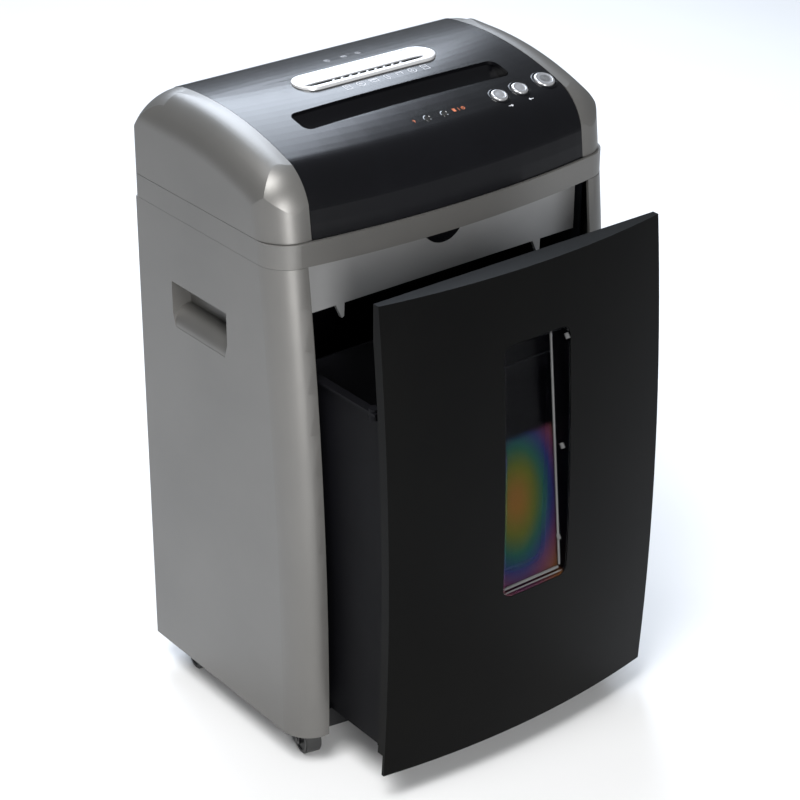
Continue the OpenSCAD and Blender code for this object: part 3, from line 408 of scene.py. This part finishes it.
def lamp_rims():
    """A thin raised ring round each lamp."""
    low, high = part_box("indicator_lenses")
    lens_r = 2.9 * MM
    rise = 2.8 * MM
    for name, x, y in (("lamp_rim_left", low.x + lens_r, (low.y + high.y) / 2),
                       ("lamp_rim_right", high.x - lens_r, (low.y + high.y) / 2)):
        profile = ((3.1, -1.0), (3.1, 0.25), (3.4, 0.45), (3.9, 0.35), (4.2, -0.05))
        mesh = loft(name, turned(profile, 48))
        mesh.transform(Matrix.Translation(Vector((x, y, (low.z + high.z) / 2)) + TILT * rise) @ PRESS_TURN)
        add_piece(name, mesh, LENS, "cabinet")


lamp_rims()


# ---------------------------------------------------------------- disc-slot bezel

def stadium(half, r, cx, cy, z, steps=24):
    """A long round-ended outline, with extra points along its straight sides, in mm."""
    spread = [half - r - (2 * (half - r)) * i / steps for i in range(steps + 1)]
    points = [(cx + half - r + r * math.cos(a), cy + r * math.sin(a), z)
              for a in (math.radians(-90 + 180 * i / steps) for i in range(steps))]
    points += [(cx + x, cy + r, z) for x in spread]
    points += [(cx - half + r + r * math.cos(a), cy + r * math.sin(a), z)
               for a in (math.radians(90 + 180 * i / steps) for i in range(1, steps))]
    points += [(cx - x, cy - r, z) for x in spread]
    return points


def squeezed(points, centre_from, half_from, centre_to, half_to, z):
    """The same points moved into a smaller box, in mm."""
    return [(centre_to[0] + (p[0] - centre_from[0]) * half_to[0] / half_from[0],
             centre_to[1] + (p[1] - centre_from[1]) * half_to[1] / half_from[1], z) for p in points]


def disc_bezel():
    """Silver surround whose long sides slope down to the slit, more from the back than from the front."""
    low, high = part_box("disc_slot_bezel")
    mid = (low + high) / 2 / MM
    half, r, top = (high.x - low.x) / 2 / MM, (high.y - low.y) / 2 / MM, high.z / MM
    throat_low, throat_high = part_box("disc_throat")
    slit = ((throat_low + throat_high) / 2 / MM, (throat_high.x - throat_low.x) / 2 / MM - 3)
    around = (mid.x, mid.y)
    rings = [stadium(half, r, *around, top - 3.5), stadium(half, r, *around, top - 0.9),
             stadium(half - 0.3, r - 0.3, *around, top - 0.35),
             stadium(half - 0.8, r - 0.8, *around, top - 0.1),
             stadium(half - 2.4, r - 2.4, *around, top), stadium(half - 3.0, r - 3.0, *around, top - 0.3),
             stadium(half - 3.4, r - 3.4, *around, top - 0.9)]
    inner = rings[-1]
    for grow, z in ((2.4, top - 2.9), (1.4, top - 3.2), (0.7, top - 3.6), (0.7, top - 4.6)):
        rings.append(squeezed(inner, around, (half - 3.4, r - 3.4), (slit[0].x, slit[0].y),
                              (slit[1] + grow, 2.0 + grow), z))
    piece = add_piece("disc_slot_surround", loft("disc_slot_surround", rings), TRIM, "cabinet")
    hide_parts("disc_slot_bezel")


disc_bezel()


# ---------------------------------------------------------------- window insert

def rod(bm, path, r, sides=10):
    """A round bar of radius r along a path of points, all in mm, added to a bmesh."""
    rows = []
    for i, point in enumerate(path):
        ahead = (Vector(path[min(i + 1, len(path) - 1)]) - Vector(path[max(i - 1, 0)])).normalized()
        side = ahead.orthogonal().normalized()
        across = ahead.cross(side)
        rows.append([bm.verts.new((Vector(point) + r * (side * math.cos(a) + across * math.sin(a))) * MM)
                     for a in (2 * math.pi * k / sides for k in range(sides))])
    for low, high in zip(rows, rows[1:]):
        for k in range(sides):
            bm.faces.new((low[k], low[(k + 1) % sides], high[(k + 1) % sides], high[k]))
    bm.faces.new(list(reversed(rows[0])))
    bm.faces.new(rows[-1])


def window_details():
    """The insert's light-catching edges: its foot ledge, the corner beside its pane, and three clips, as round
    bars whose lighter grey is a painted glint on the clear plastic.
    """
    low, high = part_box("window")
    low, high = low / MM, high / MM
    front, back = low.y + 8, high.y - 4
    edges = bmesh.new()
    corner = [(high.x - 2.2, front + (back - front) * t / 12, low.z + 6 + (high.z - low.z - 16) * t / 12)
              for t in range(13)]
    rod(edges, corner, 1.3)
    rod(edges, [(low.x + 3 + (high.x - low.x - 8) * t / 8, low.y + 7, low.z + 4.5) for t in range(9)], 1.5)
    rod(edges, [(low.x + 2 + (high.x - low.x - 5) * t / 8, low.y + 3.5, low.z + 2.2) for t in range(9)], 0.8)
    add_piece("window_edges", smooth_mesh("window_edges", edges), EDGE_GLINT, "bin")
    clips = bmesh.new()
    for part in (0.96, 0.52, 0.14):
        z = low.z + part * (high.z - low.z)
        rod(clips, [(high.x - 2, low.y + 9 + t, z - 3 + 1.4 * t) for t in range(4)], 2.2, 8)
    add_piece("window_clips", smooth_mesh("window_clips", clips), EDGE_GLINT, "bin")


window_details()


# ---------------------------------------------------------------- printed marks, all generic

def on_top(x, y):
    return on_cover(x * MM, y * MM)


def shifted(quads, dx, dy, scale=1.0):
    return [[(dx + x * scale, dy + y * scale) for x, y in quad] for quad in quads]


def bin_mark():
    return bar(-1.7, -2.2, 1.7, 1.4) + bar(-2.2, 1.8, 2.2, 2.5)


def fork_mark():
    return bar(-0.3, -2.4, 0.3, 0.2) + ring(0, 1.2, 1.6, 0.6, 180, 360) + bar(-0.3, 0.8, 0.3, 2.2)


def clock_mark():
    return ring(0, 0, 2.3, 0.7) + bar(-0.3, 0, 0.3, 1.4) + bar(0, -0.3, 1.1, 0.3)


def sheet_mark():
    return frame_quads(-2.6, -3.4, 2.6, 3.4, 0.5) + bar(-1.5, 1.2, 1.5, 1.7) + bar(-1.5, -0.2, 1.5, 0.3)


def disc_mark():
    return ring(0, 0, 3.3, 0.5) + ring(0, 0, 1.1, 0.5)


def card_mark():
    return frame_quads(-3.4, -2.3, 3.4, 2.3, 0.5) + bar(-3.2, 0.4, 3.2, 1.4)


def clip_mark():
    return ring(0, 1.6, 1.5, 0.5, 0, 180) + bar(-1.5, -2.2, -1.0, 1.6) + bar(1.0, -1.4, 1.5, 1.6) \
        + ring(0, -2.2, 1.5, 0.5, 180, 360)


def staple_mark():
    return bar(-2.6, 1.6, 2.6, 2.2) + bar(-2.6, -1.6, -2.0, 1.6) + bar(2.0, -1.6, 2.6, 1.6)


def marks():
    paper_low, paper_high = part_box("paper_throat")
    disc_low, disc_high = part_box("disc_slot_bezel")
    row_y = (paper_high.y + disc_low.y) / 2 / MM + 2
    spaced = [sheet_mark(), disc_mark(), card_mark(), clip_mark(), staple_mark(), disc_mark(), sheet_mark()]
    quads = []
    for i, mark in enumerate(spaced):
        quads += shifted(mark, -38 + 14.5 * i, row_y, 1.3)
    rear_y = disc_high.y / MM + 19
    quads += shifted(sheet_mark(), -15, rear_y, 0.8) + shifted(card_mark(), 4, rear_y, 0.8)
    quads += shifted(disc_mark(), 20, rear_y, 0.8)
    printed("feed_marks", quads, ICON, on_top)
    lamps = centre("indicator_lenses") / MM
    low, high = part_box("indicator_lenses")
    warm = shifted(fork_mark(), low.x / MM - 11, lamps.y, 0.85)
    warm += shifted(bin_mark(), high.x / MM + 9, lamps.y, 0.85)
    warm += shifted(clock_mark(), high.x / MM + 19, lamps.y, 0.85)
    warm += shifted(bar(-0.25, -2, 0.25, 2), high.x / MM + 14, lamps.y)
    printed("lamp_marks", warm, ORANGE, on_top)
    arrows = []
    for node, way in (("forward_button", 1), ("reverse_button", -1)):
        spot = centre(node) / MM
        tail = [[(-2.6, -0.35), (0.8, -0.35), (0.8, 0.35), (-2.6, 0.35)],
                [(0.8, -1.4), (3.0, 0), (0.8, 1.4), (0.8, 0)]]
        arrows += [[(spot.x + 2 + way * x, spot.y - 15 + y) for x, y in (quad if way > 0 else reversed(quad))]
                   for quad in tail]
    printed("jog_marks", arrows, ICON, on_top)


marks()


def power_symbol():
    """A ring with a bar in it, printed on the power button."""
    place = button_place("power_button")
    quads = ring(0, 0, 4.6, 0.7) + bar(-0.45, -2.2, 0.45, 2.2) + ring(0, 0, 3.0, 0.7, 110, 250) \
        + ring(0, 0, 3.0, 0.7, -70, 70)

    def on_button(x, y):
        return place @ Vector((x * MM, y * MM, -0.0001)), TILT

    printed("power_symbol", quads, DARK_INK, on_button, "power_button")


power_symbol()


# ---------------------------------------------------------------- floor, light and camera

def floor():
    mesh = bpy.data.meshes.new("floor")
    bm = bmesh.new()
    bmesh.ops.create_grid(bm, x_segments=2, y_segments=2, size=12)
    bm.to_mesh(mesh)
    bm.free()
    obj = bpy.data.objects.new("floor", mesh)
    bpy.context.scene.collection.objects.link(obj)
    nodes = Nodes("pale_floor")
    nodes.colour(nodes.noise(3), grey(0.70), grey(0.72))
    nodes.shader.inputs["Roughness"].default_value = 0.9
    nodes.shader.inputs["Specular IOR Level"].default_value = 0.1
    mesh.materials.append(nodes.material)


def area_light(name, location, target, size, power, tint=(1, 1, 1)):
    data = bpy.data.lights.new(name, "AREA")
    data.shape = "RECTANGLE"
    data.size, data.size_y = size
    data.energy = power
    data.color = tint
    lamp = bpy.data.objects.new(name, data)
    lamp.location = location
    lamp.rotation_euler = (Vector(target) - Vector(location)).to_track_quat("-Z", "Y").to_euler()
    bpy.context.scene.collection.objects.link(lamp)


def studio():
    world = bpy.data.worlds.new("studio")
    world.use_nodes = True
    background = world.node_tree.nodes["Background"]
    background.inputs["Color"].default_value = (0.90, 0.95, 1.0, 1)
    background.inputs["Strength"].default_value = 0.20
    bpy.context.scene.world = world
    bpy.context.scene.view_settings.view_transform = "Standard"
    area_light("back_softbox", (0.80, 1.62, 2.45), (0, 0.05, 0.6), (1.4, 2.2), 100, (0.80, 0.88, 1.0))
    area_light("overhead", (-1.2, -0.55, 2.8), (0, 0, 0.4), (1.3, 1.3), 92)
    area_light("front_left", (-1.2, -2.7, 0.95), (0, 0, 0.35), (0.8, 1.6), 90)


def photo_camera():
    """The camera at the photograph's place and angle, set by its distance, azimuth and elevation."""
    azimuth, elevation, roll = (math.radians(v) for v in (-38.396, 27.771, 0.376))
    right = Vector((math.cos(azimuth), math.sin(azimuth), 0))
    back = Vector((math.sin(azimuth) * math.cos(elevation), -math.cos(azimuth) * math.cos(elevation),
                   math.sin(elevation)))
    up = back.cross(right)
    rolled_right = right * math.cos(roll) + up * math.sin(roll)
    rolled_up = up * math.cos(roll) - right * math.sin(roll)
    data = bpy.data.cameras.new("camera")
    data.sensor_width = 36
    data.lens = 106.893
    camera = bpy.data.objects.new("camera", data)
    camera.matrix_world = Matrix.Translation((-1.2308, -1.5264, 1.3338)) @ Matrix(
        (rolled_right, rolled_up, back)).transposed().to_4x4()
    bpy.context.scene.collection.objects.link(camera)
    bpy.context.scene.camera = camera


floor()
studio()
photo_camera()
